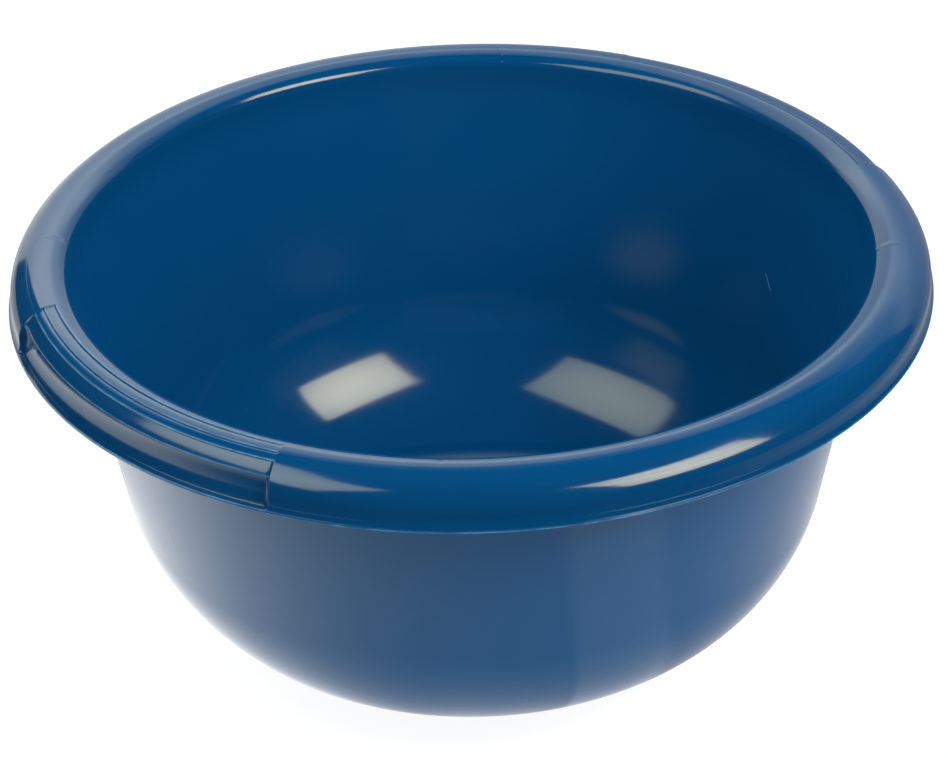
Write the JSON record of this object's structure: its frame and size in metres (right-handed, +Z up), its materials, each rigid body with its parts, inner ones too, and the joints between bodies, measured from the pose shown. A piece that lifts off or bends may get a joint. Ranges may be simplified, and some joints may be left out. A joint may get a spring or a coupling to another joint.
{
  "type": "washing up bowl",
  "caption": "Round plastic washing up bowl with a rolled-over rim, a stepped finger grip at each side and a foot ring.",
  "frame": {"origin": "centre of the underside, on the plane that the foot ring stands on", "axes": "+Z up along the bowl's axis of turning; +X through the middle of the right-hand grip, so that the grips lie at +X and -X"},
  "size_m": [0.36, 0.36, 0.17],
  "materials": {
    "blue_plastic": "glossy moulded polypropylene, blue"
  },
  "bodies": {
    "root": {"side_wall": "blue_plastic", "bottom_curve": "blue_plastic", "bowl_floor": "blue_plastic", "foot_ring": "blue_plastic", "front_rim": "blue_plastic", "back_rim": "blue_plastic", "left_grip": "blue_plastic", "right_grip": "blue_plastic", "rim_webs": "blue_plastic"}
  },
  "joints": []
}
